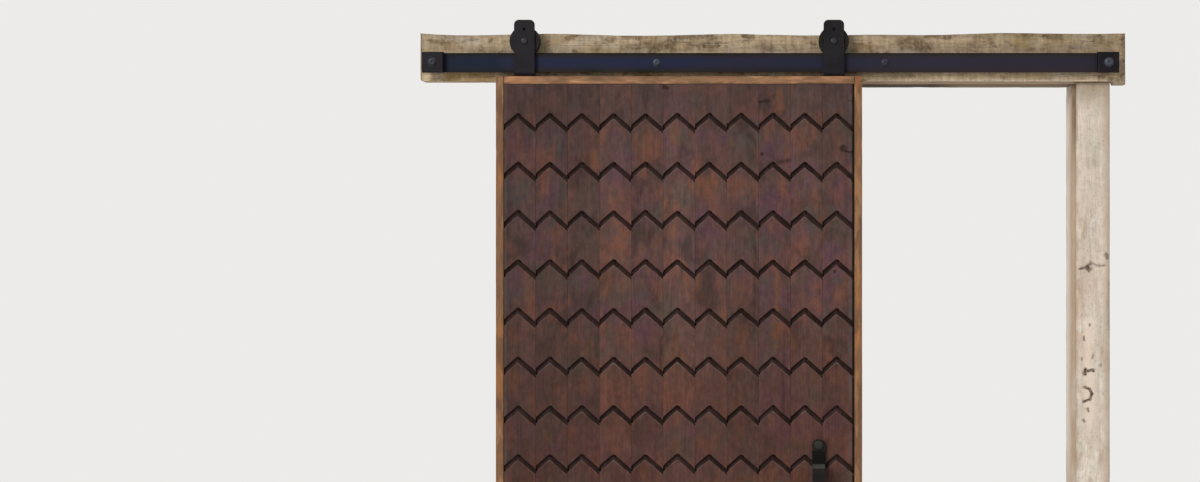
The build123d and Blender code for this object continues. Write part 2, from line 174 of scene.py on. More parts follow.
# Marks on the boards' fronts: kind, the places (x, z) that the mark runs through, its radius,
# how deep it is and how strong its colour is
header_marks = [
    ("stain_and_shade", [(-0.447, 0.051), (-0.421, 0.051)], 0.008, 0.0, 0.6),
    ("stain_and_shade", [(-0.399, 0.056), (-0.352, 0.056)], 0.007, 0.0, 0.8),
    ("stain_and_shade", [(-0.399, 0.027), (-0.352, 0.030)], 0.009, 0.0, 0.5),
    ("stain_and_shade", [(-0.241, 0.059), (-0.278, 0.038), (-0.320, 0.022)], 0.014, 0.0, 0.9),
    ("stain_and_shade", [(-0.235, 0.059), (-0.161, 0.056)], 0.011, 0.0, 0.7),
    ("stain_and_shade", [(-0.182, 0.032), (-0.182, 0.030)], 0.004, 0.0015, 0.9),
    ("stain_and_shade", [(-0.143, 0.032), (-0.142, 0.032)], 0.0045, 0.002, 1.0),
    ("stain_and_shade", [(-0.079, 0.059), (-0.053, 0.056)], 0.007, 0.0, 0.8),
    ("stain_and_shade", [(-0.042, 0.030), (-0.008, 0.032)], 0.012, 0.0, 0.55),
    ("stain_and_shade", [(0.032, 0.053), (0.032, 0.024)], 0.004, 0.0, 0.5),
    ("stain_and_shade", [(0.051, 0.053), (0.048, 0.032)], 0.004, 0.0, 0.5),
    ("warm", [(0.225, 0.027), (0.252, 0.027)], 0.010, 0.0, 0.5),
    ("stain_and_shade", [(0.337, 0.043), (0.374, 0.037), (0.406, 0.030)], 0.018, 0.0, 0.8),
    ("stain_and_shade", [(0.411, 0.061), (0.437, 0.059)], 0.008, 0.0, 0.7),
    ("stain_and_shade", [(0.453, 0.053), (0.472, 0.056)], 0.006, 0.0, 0.9),
    ("stain_and_shade", [(0.490, 0.030), (0.535, 0.032)], 0.014, 0.0, 0.4),
    ("stain_and_shade", [(0.538, 0.056), (0.575, 0.053), (0.578, 0.043)], 0.008, 0.0, 0.6),
    ("warm", [(0.649, 0.043), (0.681, 0.035)], 0.012, 0.0, 0.4),
    ("stain_and_shade", [(0.723, 0.056), (0.760, 0.059)], 0.010, 0.0, 0.7),
    ("stain_and_shade", [(0.898, -0.062), (0.930, -0.064)], 0.012, 0.0, 0.7),
    ("stain_and_shade", [(0.928, 0.059), (0.930, -0.005)], 0.006, 0.0, 0.6),
    ("stain_and_shade", [(-0.932, 0.059), (-0.932, -0.060)], 0.005, 0.0, 0.6),
    ("warm", [(-0.855, -0.050), (-0.760, -0.050)], 0.018, 0.0, 0.8),
    ("stain_and_shade", [(-0.905, -0.058), (-0.879, -0.056)], 0.006, 0.0, 0.5),
]
casing_marks = [
    ("warm", [(0.838, -0.700), (0.840, -0.960)], 0.016, 0.0, 0.9),
    ("stain_and_shade", [(0.814, -0.559), (0.830, -0.556), (0.840, -0.564)], 0.0034, 0.0015, 0.9),
    ("stain_and_shade", [(0.827, -0.556), (0.838, -0.548), (0.846, -0.545)], 0.0034, 0.0015, 0.9),
    ("stain_and_shade", [(0.836, -0.553), (0.844, -0.558)], 0.0052, 0.0020, 1.0),
    ("stain_and_shade", [(0.843, -0.540), (0.864, -0.551), (0.884, -0.549)], 0.0028, 0.0008, 0.6),
    ("stain_and_shade", [(0.887, -0.520), (0.890, -0.531)], 0.0045, 0.0015, 0.7),
    ("stain_and_shade", [(0.893, -0.590), (0.893, -0.715)], 0.0034, 0.0, 0.5),
    ("stain_and_shade", [(0.843, -0.706), (0.843, -0.709)], 0.0034, 0.0015, 0.8),
    ("stain_and_shade", [(0.827, -0.739), (0.828, -0.748)], 0.0032, 0.0015, 0.8),
    ("stain_and_shade", [(0.822, -0.796), (0.822, -0.800)], 0.0036, 0.0012, 0.6),
    ("stain_and_shade", [(0.851, -0.791), (0.850, -0.796)], 0.0036, 0.0012, 0.6),
    ("stain_and_shade", [(0.872, -0.812), (0.873, -0.816)], 0.0034, 0.0010, 0.5),
    ("stain_and_shade", [(0.832, -0.826), (0.831, -0.838)], 0.0062, 0.0025, 1.0),
    ("stain_and_shade", [(0.838, -0.830), (0.848, -0.827), (0.852, -0.830)], 0.0042, 0.0020, 1.0),
    ("stain_and_shade", [(0.832, -0.874), (0.843, -0.878), (0.848, -0.891)], 0.0042, 0.0018, 1.0),
    ("stain_and_shade", [(0.848, -0.891), (0.843, -0.905), (0.826, -0.912)], 0.0042, 0.0018, 1.0),
    ("stain_and_shade", [(0.838, -0.930), (0.839, -0.937)], 0.0036, 0.0015, 0.8),
    ("stain_and_shade", [(0.826, -0.960), (0.828, -0.965)], 0.0036, 0.0015, 0.7),
]
face_marks = [
    ("stain_and_shade", [(-0.285, -0.080), (-0.275, -0.083)], 0.0055, 0.0012, 0.9),
    ("stain_and_shade", [(-0.036, -0.120), (-0.010, -0.117)], 0.0040, 0.0010, 0.9),
    ("stain_and_shade", [(-0.005, -0.107), (0.003, -0.104)], 0.0030, 0.0, 0.7),
    ("stain_and_shade", [(0.202, -0.117), (0.213, -0.117)], 0.0045, 0.0012, 0.9),
    ("stain_and_shade", [(0.184, -0.239), (0.184, -0.242)], 0.0080, 0.0020, 1.0),
    ("stain_and_shade", [(0.184, -0.246), (0.200, -0.251), (0.213, -0.251)], 0.0034, 0.0015, 1.0),
    ("stain_and_shade", [(-0.028, -0.255), (-0.028, -0.257)], 0.0040, 0.0008, 0.9),
    ("stain_and_shade", [(0.014, -0.272), (0.045, -0.272)], 0.0030, 0.0, 0.8),
    ("stain_and_shade", [(-0.280, -0.218), (-0.280, -0.221)], 0.0045, 0.0, 0.7),
    ("stain_and_shade", [(-0.485, -0.208), (-0.485, -0.210)], 0.0080, 0.0, 0.4),
    ("stain_and_shade", [(-0.650, -0.247), (-0.650, -0.249)], 0.0070, 0.0, 0.3),
    ("stain_and_shade", [(-0.293, -0.736), (-0.293, -0.815)], 0.0040, 0.0, 0.8),
    ("stain_and_shade", [(-0.047, -0.442), (-0.047, -0.718)], 0.0036, 0.0, 0.5),
    ("stain_and_shade", [(0.029, -0.718), (0.029, -0.927)], 0.0034, 0.0, 0.4),
    ("stain_and_shade", [(0.163, -0.559), (0.163, -0.561)], 0.0050, 0.0010, 0.8),
    ("stain_and_shade", [(0.145, -0.808), (0.145, -0.810)], 0.0050, 0.0010, 0.8),
    # Painted shadow of the pull, on the face to its right
    ("stain_and_shade", [(0.140, -1.010), (0.140, -1.310)], 0.0090, 0.0, 0.6),
    ("warm", [(0.011, -0.563), (0.011, -0.660)], 0.0060, 0.0, 0.8),
    ("warm", [(-0.256, -0.177), (-0.259, -0.219)], 0.020, 0.0, 0.6),
    ("warm", [(-0.471, -0.256), (-0.464, -0.285)], 0.013, 0.0, 0.5),
    ("warm", [(0.019, -0.094), (0.019, -0.136)], 0.010, 0.0, 0.6),
    ("warm", [(-0.015, -0.188), (-0.013, -0.219)], 0.007, 0.0, 0.6),
    ("warm", [(-0.175, -0.324), (-0.170, -0.356)], 0.015, 0.0, 0.6),
    ("warm", [(0.024, -0.303), (0.029, -0.351)], 0.008, 0.0, 0.6),
]


# Shader building

def linear(display):
    """A display colour as the linear colour that a shader takes."""
    shares = [value / 255 for value in display]
    return (*[v / 12.92 if v <= 0.04045 else ((v + 0.055) / 1.055) ** 2.4 for v in shares], 1.0)


def toned(display, gain):
    """A display colour made lighter or darker."""
    return tuple(min(255.0, value * gain) for value in display)


def smooth(share):
    """0 to 1 with eased ends, for any number."""
    share = min(1.0, max(0.0, share))
    return share * share * (3.0 - 2.0 * share)


class Shader:
    """A node material being built. Inputs take numbers, colours, vectors or other nodes' outputs."""

    def __init__(self, name):
        self.material = bpy.data.materials.new(name)
        self.material.use_nodes = True
        self.tree = self.material.node_tree
        self.surface = self.tree.nodes["Principled BSDF"]
        self.place = self.add("ShaderNodeTexCoord").outputs["Object"]
        self.colour = None
        self.height = None

    def add(self, kind, inputs=None, **settings):
        node = self.tree.nodes.new(kind)
        for key, value in settings.items():
            setattr(node, key, value)
        for key, value in (inputs or {}).items():
            self.join(node.inputs[key], value)
        return node

    def join(self, socket, value):
        if isinstance(value, bpy.types.NodeSocket):
            self.tree.links.new(value, socket)
        else:
            socket.default_value = value

    def set(self, **inputs):
        """Sets the surface's own sockets; an underscore in a name stands for a space."""
        for key, value in inputs.items():
            self.join(self.surface.inputs[key.replace("_", " ")], value)

    def stretched(self, scale, shift=(0.0, 0.0, 0.0)):
        inputs = {"Vector": self.place, "Scale": scale, "Location": shift}
        return self.add("ShaderNodeMapping", inputs).outputs[0]

    def noise(self, vector, scale, detail=4.0, roughness=0.55, distortion=0.0):
        inputs = {
            "Vector": vector,
            "Scale": scale,
            "Detail": detail,
            "Roughness": roughness,
            "Distortion": distortion,
        }
        return self.add("ShaderNodeTexNoise", inputs).outputs[0]

    def math(self, operation, *values):
        node = self.add("ShaderNodeMath", operation=operation)
        for socket, value in zip(node.inputs, values):
            self.join(socket, value)
        return node.outputs[0]

    def spread(self, value, low, high, to_low=0.0, to_high=1.0):
        """value's stretch from low to high spread over to_low to to_high, eased at its ends."""
        inputs = {"Value": value, 1: low, 2: high, 3: to_low, 4: to_high}
        return self.add("ShaderNodeMapRange", inputs, interpolation_type="SMOOTHSTEP").outputs[0]

    def mix(self, factor, a, b, blend="MIX"):
        node = self.add("ShaderNodeMix", {0: factor, 6: a, 7: b}, data_type="RGBA", blend_type=blend)
        return node.outputs[2]

    def paint(self, factor, display):
        """Lays a display colour over the colour so far, where factor is high."""
        self.colour = self.mix(factor, self.colour, linear(display))

    def scale(self, factor):
        """Multiplies the colour so far by a number that varies."""
        self.colour = self.mix(1.0, self.colour, factor, "MULTIPLY")

    def axis(self, letter):
        return self.add("ShaderNodeSeparateXYZ", {0: self.place}).outputs[letter]

    def attribute(self, name):
        return self.add("ShaderNodeAttribute", attribute_name=name).outputs["Fac"]

    def facing(self, direction):
        """How far the surface faces a direction, from -1 to 1."""
        normal = self.add("ShaderNodeNewGeometry").outputs["True Normal"]
        inputs = {0: normal, 1: Vector(direction).normalized()}
        return self.add("ShaderNodeVectorMath", inputs, operation="DOT_PRODUCT").outputs["Value"]

    def bump(self, strength, distance):
        inputs = {"Height": self.height, "Strength": strength, "Distance": distance}
        self.set(Normal=self.add("ShaderNodeBump", inputs).outputs[0])

    def finish(self):
        self.set(Base_Color=self.colour)
        return self.material


# Materials

def along(axis, lengthwise, across):
    """A noise scale that is stretched along one axis."""
    return tuple(lengthwise if letter == axis else across for letter in "XYZ")


def grain(s, axis, shift, figure=0.12, rings=0.06, fibre=0.10):
    """Multiplies the colour by the figure of sawn wood along an axis, and sets the relief."""
    broad = s.noise(s.stretched(along(axis, 2.0, 24.0), shift), 1.0, 4.0, 0.6, 0.6)
    field = s.noise(s.stretched(along(axis, 0.8, 8.0), shift), 1.0, 2.0, 0.4, 0.4)
    ring = s.math("SINE", s.math("MULTIPLY", field, 240.0))
    fine = s.noise(s.stretched(along(axis, 14.0, 320.0), shift), 1.0, 3.0, 0.6)
    gain = s.spread(broad, 0.3, 0.7, 1.0 - figure, 1.0 + figure)
    gain = s.math("MULTIPLY", gain, s.spread(ring, -1.0, 1.0, 1.0 - rings, 1.0 + rings))
    gain = s.math("MULTIPLY", gain, s.spread(fine, 0.25, 0.75, 1.0 - fibre, 1.0 + fibre))
    s.scale(gain)
    s.height = s.math("MULTIPLY_ADD", ring, 0.08, s.math("MULTIPLY_ADD", fine, 0.5, broad))


def tinted(s, axis, shift, tints, fade=0.16):
    """Lays drifting patches over the colour. A tint is colour, most, start, lengthwise, across."""
    for number, (display, most, start, lengthwise, across) in enumerate(tints, start=1):
        moved = tuple(value + number * 4.3 for value in shift)
        field = s.noise(s.stretched(along(axis, lengthwise, across), moved), 1.0, 3.0, 0.55, 0.3)
        s.paint(s.spread(field, start, start + fade, 0.0, most), display)


def checked(s, axis, shift, most):
    """Opens fine dark checks along the grain."""
    thread = s.noise(s.stretched(along(axis, 3.0, 110.0), shift), 1.0, 2.0, 0.5, 0.4)
    line = s.spread(s.math("ABSOLUTE", s.math("SUBTRACT", thread, 0.5)), 0.002, 0.014, 1.0, 0.0)
    field = s.noise(s.stretched(along(axis, 3.5, 14.0), shift), 1.0, 2.0)
    check = s.math("MULTIPLY", s.math("MULTIPLY", line, s.spread(field, 0.50, 0.66)), most)
    s.scale(s.math("SUBTRACT", 1.0, s.math("MULTIPLY", check, 0.6)))
    s.height = s.math("MULTIPLY_ADD", check, -0.9, s.height)


def speckled(s, size, most):
    """Small dark pores all over, as on weathered boards."""
    field = s.noise(s.place, 1.0 / size, 3.0, 0.65)
    pores = s.spread(field, 0.54, 0.70, 0.0, most)
    s.scale(s.math("SUBTRACT", 1.0, pores))
    s.height = s.math("MULTIPLY_ADD", pores, -0.8, s.height)


def aged(s, stain_and_shade, warm, wear, worn=0.7, broken=0.3):
    """Colours the stains and painted shadows, warm patches and rubbed edges that the point attributes
    mark.
    """
    mottle = s.noise(s.stretched((170.0, 170.0, 130.0)), 1.0, 4.0, 0.7)
    mottle = s.spread(mottle, 0.34, 0.62, 1.0 - broken, 1.0)
    s.paint(s.math("MULTIPLY", s.attribute("warm"), mottle), warm)
    s.paint(s.math("MULTIPLY", s.attribute("stain_and_shade"), mottle), stain_and_shade)
    field = s.noise(s.place, 30.0, 3.0)
    s.paint(s.math("MULTIPLY", s.attribute("edge"), s.spread(field, 0.4, 0.6, 0.1, worn)), wear)


def surface(s, roughness=0.8, relief=0.4, gloss=0.15):
    s.bump(relief, 0.0012)
    cloud = s.noise(s.place, 12.0, 2.0)
    s.set(Roughness=s.spread(cloud, 0.35, 0.65, roughness - 0.07, roughness + 0.07))
    s.set(Specular_IOR_Level=gloss)


def header_wood():
    """Old board: mottled grey and tan, dark stained, pale along its lower edge at the doorway.
    The saw's marks show clearest on its front."""
    s = Shader("weathered_header")
    shift = (3.1, 5.3, 7.7)
    s.colour = linear((166, 147, 119))
    tinted(s, "X", shift, [
        ((144, 124, 92), 0.6, 0.44, 6.0, 12.0),
        ((158, 146, 130), 0.7, 0.48, 8.0, 20.0),
        ((122, 100, 73), 0.6, 0.50, 14.0, 28.0),
        ((178, 160, 136), 0.6, 0.50, 16.0, 36.0),
        ((100, 78, 55), 0.7, 0.52, 40.0, 60.0),
    ], 0.2)
    # Painted light: the band 12 to 26 mm above the lower edge is made half again as light, against the
    # shade that the track casts on it
    s.scale(s.spread(s.axis("Z"), header_low + 0.012, header_low + 0.026, 1.5, 1.0))
    low_edge = s.spread(s.axis("Z"), header_low + 0.003, header_low + 0.007, 0.7, 0.0)
    s.paint(s.math("MULTIPLY", low_edge, s.spread(s.axis("X"), 0.20, 0.28)), (206, 188, 164))
    sawn = s.noise(s.stretched((100.0, 30.0, 18.0)), 1.0, 3.0, 0.6)
    clear = s.spread(s.facing((0, -1, 0)), 0.2, 0.8, 0.3, 1.0)
    s.scale(s.math("MULTIPLY_ADD", s.spread(sawn, 0.32, 0.68, -0.16, 0.14), clear, 1.0))
    grain(s, "X", shift, 0.12, 0.05, 0.12)
    checked(s, "X", shift, 0.8)
    speckled(s, 0.006, 0.28)
    aged(s, (84, 64, 43), (152, 124, 74), (120, 101, 76), 0.7, 0.6)
    surface(s, 0.85, 0.6)
    return s.finish()


def casing_wood():
    """Pale weathered board, pinkish and grey, with painted shade under the header and along its right
    edge.
    """
    s = Shader("pale_casing")
    shift = (9.2, 1.7, 4.4)
    s.colour = linear((214, 199, 183))
    tinted(s, "Z", shift, [
        ((208, 186, 168), 0.8, 0.48, 5.0, 14.0),
        ((202, 194, 176), 0.8, 0.50, 6.0, 18.0),
        ((190, 168, 144), 0.8, 0.54, 10.0, 26.0),
        ((228, 218, 204), 0.7, 0.54, 12.0, 30.0),
    ])
    grain(s, "Z", shift, 0.07, 0.03, 0.07)
    checked(s, "Z", shift, 0.4)
    mottled = s.noise(s.stretched((60.0, 60.0, 45.0)), 1.0, 3.0, 0.6)
    s.scale(s.spread(mottled, 0.32, 0.68, 0.93, 1.05))
    speckled(s, 0.007, 0.22)
    # Painted shade: darker towards the top, under the header
    s.paint(s.spread(s.axis("Z"), header_low - 0.088, header_low - 0.013, 0.0, 0.6), (146, 128, 100))
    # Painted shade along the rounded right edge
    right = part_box("casing_right")[1].x
    s.paint(s.spread(s.axis("X"), right - 0.026, right - 0.002, 0.0, 0.7), (176, 158, 138))
    aged(s, (70, 52, 40), (230, 212, 192), (166, 146, 126), 0.9, 0.4)
    surface(s, 0.82, 0.35)
    return s.finish()


def jamb_wood(axis, name):
    """Pale liner, with painted light deep in the doorway and painted shade towards the front, strongest
    near its head.
    """
    s = Shader(name)
    shift = (2.2, 8.1, 6.6)
    s.colour = linear((230, 218, 204))
    # Painted light and shade: browner at the front, paler deep in the doorway where the room's light
    # falls
    s.paint(s.spread(s.axis("Y"), 0.0, 0.110, 1.0, 0.0), (184, 162, 138))
    tinted(s, axis, shift, [
        ((186, 164, 140), 0.6, 0.50, 5.0, 16.0),
        ((212, 200, 186), 0.6, 0.52, 8.0, 22.0),
    ])
    # Painted shade at the front of the liner near its head, where the header shades it
    head = s.spread(s.axis("Z"), -0.34, -0.12)
    near = s.spread(s.axis("Y"), 0.0, 0.030, 0.8, 0.0)
    s.paint(s.math("MULTIPLY", head, near), (104, 80, 56))
    grain(s, axis, shift, 0.06, 0.03, 0.06)
    checked(s, axis, shift, 0.3)
    aged(s, (110, 88, 66), (196, 168, 140), (176, 156, 132), 0.5)
    surface(s, 0.8, 0.3)
    return s


def head_jamb_wood():
    """The head liner, with painted shade on its underside, deeper towards its left end, and a pale front
    edge.
    """
    s = jamb_wood("X", "head_jamb")
    # Painted shade on the underside, deepest towards the left end
    under = s.spread(s.facing((0, 0, -1)), 0.5, 0.9)
    under = s.math("MULTIPLY", under, s.spread(s.axis("Y"), 0.0, 0.004))
    s.paint(s.math("MULTIPLY", under, s.spread(s.axis("X"), 0.44, 0.54, 0.95, 0.8)), (110, 90, 68))
    s.paint(s.math("MULTIPLY", under, s.spread(s.axis("X"), 0.42, 0.50, 0.75, 0.0)), (52, 36, 20))
    s.paint(s.spread(s.axis("Y"), 0.001, 0.003, 0.8, 0.0), (206, 188, 164))
    return s.finish()


def strip_wood(name, axis, base, tints):
    """An oiled edge strip."""
    s = Shader(name)
    shift = (1.1, 6.2, 3.9)
    s.colour = linear(base)
    tinted(s, axis, shift, tints)
    grain(s, axis, shift, 0.14, 0.08, 0.10)
    checked(s, axis, shift, 0.4)
    aged(s, (92, 66, 46), (184, 130, 84), toned(base, 0.80), 0.7)
    surface(s, 0.68, 0.3, 0.2)
    return s.finish()


def face_wood(number, gain):
    """One plank of the face: dark stained wood in drifting hues, scorched and painted with shade and
    light in its grooves, and painted shade towards the top.
    """
    s = Shader(f"stained_plank_{number:02d}")
    shift = (number * 3.1, number * 5.3, number * 7.7)
    s.colour = linear(toned((86, 63, 57), gain))
    tinted(s, "Z", (2.7, 0.4, 6.1), [
        (toned((86, 58, 66), gain), 0.8, 0.44, 9.0, 12.0),
        (toned((72, 66, 58), gain), 0.7, 0.48, 11.0, 14.0),
    ], 0.20)
    tinted(s, "Z", shift, [
        (toned((108, 68, 55), gain), 0.7, 0.48, 9.0, 15.0),
        (toned((64, 47, 43), gain), 0.8, 0.50, 11.0, 16.0),
        (toned((114, 70, 44), gain), 0.5, 0.54, 7.0, 22.0),
    ], 0.18)
    # Painted shade: darker towards the top, under the header
    s.paint(s.spread(s.axis("Z"), -0.32, face_top, 0.0, 0.45), toned((62, 48, 47), gain))
    s.paint(s.spread(s.axis("Z"), -1.00, -0.50, 0.42, 0.0), toned((80, 46, 32), gain))
    mottled = s.noise(s.stretched((75.0, 75.0, 50.0), shift), 1.0, 3.0, 0.6)
    s.scale(s.spread(mottled, 0.32, 0.68, 0.86, 1.12))
    grain(s, "Z", shift, 0.10, 0.04, 0.11)
    checked(s, "Z", shift, 0.4)
    aged(s, (34, 20, 15), (112, 72, 48), toned((92, 70, 63), gain), 0.12, 0.5)
    bordered(s, gain)
    scorch_and_shade(s, gain)
    surface(s, 0.72, 0.4)
    return s.finish()


def bordered(s, gain):
    """A pale grey band beside the edge strips, and painted shade in the rebate along the right one."""
    across = s.axis("X")
    pale_band = s.spread(s.noise(s.place, 16.0, 2.0), 0.38, 0.58, 0.15, 0.5)
    beside_left = s.spread(across, face_left + 0.005, face_left + 0.009, 1.0, 0.0)
    beside_right = s.spread(across, face_right - 0.017, face_right - 0.012)
    beside = s.math("ADD", beside_left, beside_right)
    s.paint(s.math("MULTIPLY", beside, pale_band), toned((90, 84, 80), gain))
    # Painted shade in the rebate
    rebate = face_right - rebate_width
    s.paint(s.spread(across, rebate - rebate_edge, rebate + rebate_edge, 0.0, 0.9), (24, 14, 10))


def scorch_and_shade(s, gain):
    """Darkens the grooves, partly as scorch and partly as painted shade, less so on their lower walls,
    which face up. Walls facing up to the right get a paler painted lit colour, and the lower walls'
    upper edge a painted highlight.
    """
    depth = s.attribute("depth")
    lower = s.spread(s.facing((0, 0, 1)), 0.15, 0.45)
    # Painted highlight along the upper edge of the lower walls, which face up
    patchy = s.spread(s.noise(s.place, 45.0, 2.0), 0.40, 0.60, 0.2, 0.8)
    rubbed = s.math("MULTIPLY", s.math("MULTIPLY", lower, patchy), s.spread(depth, 0.01, 0.05))
    s.paint(rubbed, toned((118, 96, 90), gain))
    # Scorch with painted shade: the grooves darken with depth, starting deeper on the lower walls, which
    # face up to the light
    shallow = s.spread(s.noise(s.place, 22.0, 3.0), 0.35, 0.65, 0.0, 0.10)
    first = s.spread(lower, 0.0, 1.0, 0.02, 0.05)
    full = s.spread(lower, 0.0, 1.0, 0.16, 0.28)
    cut = s.spread(s.math("SUBTRACT", depth, shallow), first, full)
    # Painted light: groove walls facing up to the right take a paler char colour, the others the dark
    # one
    lit = s.spread(s.facing((1, 0, 1)), 0.15, 0.50, 0.0, 0.3)
    burnt = s.spread(s.noise(s.place, 32.0, 3.0), 0.38, 0.62, 0.86, 1.0)
    char_and_shade = s.mix(lit, linear((33, 19, 15)), linear((52, 34, 28)))
    s.colour = s.mix(s.math("MULTIPLY", cut, burnt), s.colour, char_and_shade)


def core_wood():
    """The slab behind the planks, whose back is the door's back."""
    s = Shader("door_core")
    shift = (5.5, 2.8, 9.1)
    s.colour = linear((96, 68, 54))
    tinted(s, "Z", shift, [
        ((112, 78, 56), 0.7, 0.48, 1.6, 10.0),
        ((80, 58, 48), 0.7, 0.52, 2.0, 12.0),
    ])
    grain(s, "Z", shift, 0.12, 0.08, 0.10)
    checked(s, "Z", shift, 0.4)
    aged(s, (48, 32, 24), (122, 80, 52), (112, 84, 66), 0.4)
    surface(s, 0.7, 0.35)
    return s.finish()


def steel(name, display, rough, gloss=0.12, metallic=0.0, worn=(112, 110, 112), wear=0.35):
    """Painted or blackened steel with cloudy tone, fine grit and rubbed edges."""
    s = Shader(name)
    cloud = s.noise(s.stretched((9.0, 9.0, 22.0)), 1.0, 4.0, 0.6)
    grit = s.noise(s.place, 360.0, 2.0, 0.6)
    s.colour = linear(display)
    s.scale(s.spread(cloud, 0.3, 0.7, 0.72, 1.32))
    s.scale(s.spread(grit, 0.3, 0.7, 0.9, 1.1))
    rounded = s.add("ShaderNodeBevel", {"Radius": 0.0012}, samples=6).outputs[0]
    flat = s.add("ShaderNodeNewGeometry").outputs["True Normal"]
    turn = s.add("ShaderNodeVectorMath", {0: rounded, 1: flat}, operation="DOT_PRODUCT")
    edge = s.spread(turn.outputs["Value"], 0.80, 0.985, 1.0, 0.0)
    s.paint(s.math("MULTIPLY", edge, s.spread(grit, 0.35, 0.7, 0.0, wear)), worn)
    s.height = s.math("MULTIPLY_ADD", cloud, 0.6, grit)
    s.bump(0.12, 0.0006)
    s.set(Roughness=s.spread(cloud, 0.3, 0.7, rough - 0.07, rough + 0.09))
    s.set(Metallic=metallic, Specular_IOR_Level=gloss)
    return s


def rail_steel():
    """The track: darker along its top edge, a blue band along its middle that is partly its own tint and
    partly a painted sheen, darker at its left, greyer at its right.
    """
    s = steel("track_steel", (36, 33, 30), rough=0.5, gloss=0.06, worn=(64, 62, 64))
    low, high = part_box("track_rail")
    half = (high.z - low.z) / 2
    height = s.math("SUBTRACT", s.axis("Z"), low.z + half)
    # The blue band along the middle: the steel's own tint with a painted sheen
    s.paint(s.spread(s.math("ABSOLUTE", height), half * 0.3, half * 0.85, 1.0, 0.0), (33, 37, 57))
    s.paint(s.spread(s.axis("X"), -0.74, -0.68, 0.6, 0.0), (20, 27, 38))
    s.paint(s.spread(s.axis("X"), 0.1, 0.4, 0.0, 0.5), (52, 45, 49))
    s.paint(s.spread(height, half * 0.70, half * 0.94, 0.0, 0.6), (14, 12, 11))
    drift = s.noise(s.stretched((2.0, 4.0, 4.0)), 1.0, 2.0)
    s.paint(s.spread(drift, 0.48, 0.60, 0.0, 0.25), (44, 36, 38))
    return s.finish()


def screw_steel():
    """Screw heads: bright zinc-grey, dull on the left end stop and over the doorway."""
    s = steel("screw_steel", (66, 68, 78), rough=0.38, gloss=0.4, metallic=0.5)
    s.paint(s.spread(s.axis("X"), -0.86, -0.80, 0.75, 0.0), (30, 30, 34))
    from_left = s.spread(s.axis("X"), 0.10, 0.20)
    from_right = s.spread(s.axis("X"), 0.70, 0.80, 0.6, 0.0)
    s.paint(s.math("MULTIPLY", from_left, from_right), (34, 32, 38))
    return s.finish()


def handle_iron():
    """The pull: rough black iron, with painted shade between the screws and the arms and a painted
    highlight on its ledges.
    """
    s = steel("handle_iron", (30, 25, 22), rough=0.5, gloss=0.10, worn=(88, 84, 78), wear=0.5)
    low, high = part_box("pull_handle")
    from_middle = s.math("ABSOLUTE", s.math("SUBTRACT", s.axis("Z"), (low.z + high.z) / 2))
    half = (high.z - low.z) / 2
    arm = half - 0.069
    pad = half - 0.031
    fade = 0.003
    past_arm = s.spread(from_middle, arm - fade, arm + fade)
    before_pad = s.spread(from_middle, pad - fade, pad + fade, 1.0, 0.0)
    neck = s.math("MULTIPLY", past_arm, before_pad)
    # Painted shade on the neck between the screws and the arms
    s.paint(s.math("MULTIPLY", neck, 0.9), (6, 4, 3))
    # Painted highlight on the faces that look up, such as the ledges of the arms
    s.paint(s.spread(s.facing((0, 0, 1)), 0.6, 0.9, 0.0, 0.8), (84, 82, 76))
    return s.finish()


# Boards

def close_seams(bm, name):
    """Narrows the eased edges where planks meet, so that the face reads as one."""
    low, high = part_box(name)
    near = 0.0008
    for v in bm.verts:
        for side in (low.x, high.x):
            if v.co.y < face_front + near and abs(v.co.x - side) < near:
                v.co.x = side + (v.co.x - side) * seam_share
                v.co.y = face_front + (v.co.y - face_front) * seam_share


def board_mesh(name, easing):
    """A CAD board's mesh with its flat faces whole and its sharp edges rounded."""
    bm = bmesh.new()
    bm.from_mesh(nodes[name].data)
    bmesh.ops.remove_doubles(bm, verts=bm.verts, dist=weld_distance)
    if name in planks:
        close_seams(bm, name)
    bmesh.ops.dissolve_limit(bm, angle_limit=flat_angle, verts=bm.verts, edges=bm.edges)
    sharp = [e for e in bm.edges if len(e.link_faces) == 2 and e.calc_face_angle() > sharp_angle]
    bmesh.ops.bevel(bm, geom=sharp, offset=easing, segments=2, profile=0.5, affect="EDGES",
                    clamp_overlap=True)
    return bm


def slice_up(bm, low, high, steps):
    """Cuts the mesh by planes about a step apart on each axis, the longest axis first."""
    for axis in sorted(range(3), key=lambda axis: low[axis] - high[axis]):
        count = max(1, round((high[axis] - low[axis]) / steps[axis]))
        normal = Vector([float(index == axis) for index in range(3)])
        for cut in range(1, count):
            point = normal * (low[axis] + (high[axis] - low[axis]) * cut / count)
            geometry = bm.verts[:] + bm.edges[:] + bm.faces[:]
            bmesh.ops.bisect_plane(bm, geom=geometry, dist=weld_distance, plane_co=point,
                                   plane_no=normal)


class Mark:
    """A mark on a board's front, along a line of places: stains, warm patches and painted shadows."""

    def __init__(self, kind, places, radius, dent, strength):
        self.kind = kind
        self.points = [Vector(place) for place in places]
        self.radius = radius
        self.dent = dent
        self.strength = strength
        self.left = min(x for x, z in places)
        self.right = max(x for x, z in places)
        self.low = min(z for x, z in places)
        self.high = max(z for x, z in places)

    def near(self, place, reach):
        """Whether a place is within reach of the line's own box."""
        if place.x < self.left - reach or place.x > self.right + reach:
            return False
        return self.low - reach < place.z < self.high + reach

    def distance(self, place):
        """From a place to the nearest point of the line, along the board's front."""
        flat = Vector((place.x, place.z))
        nearest = math.inf
        for start, end in zip(self.points, self.points[1:]):
            run = end - start
            share = min(1.0, max(0.0, (flat - start).dot(run) / run.length_squared))
            nearest = min(nearest, (flat - start - run * share).length)
        return nearest


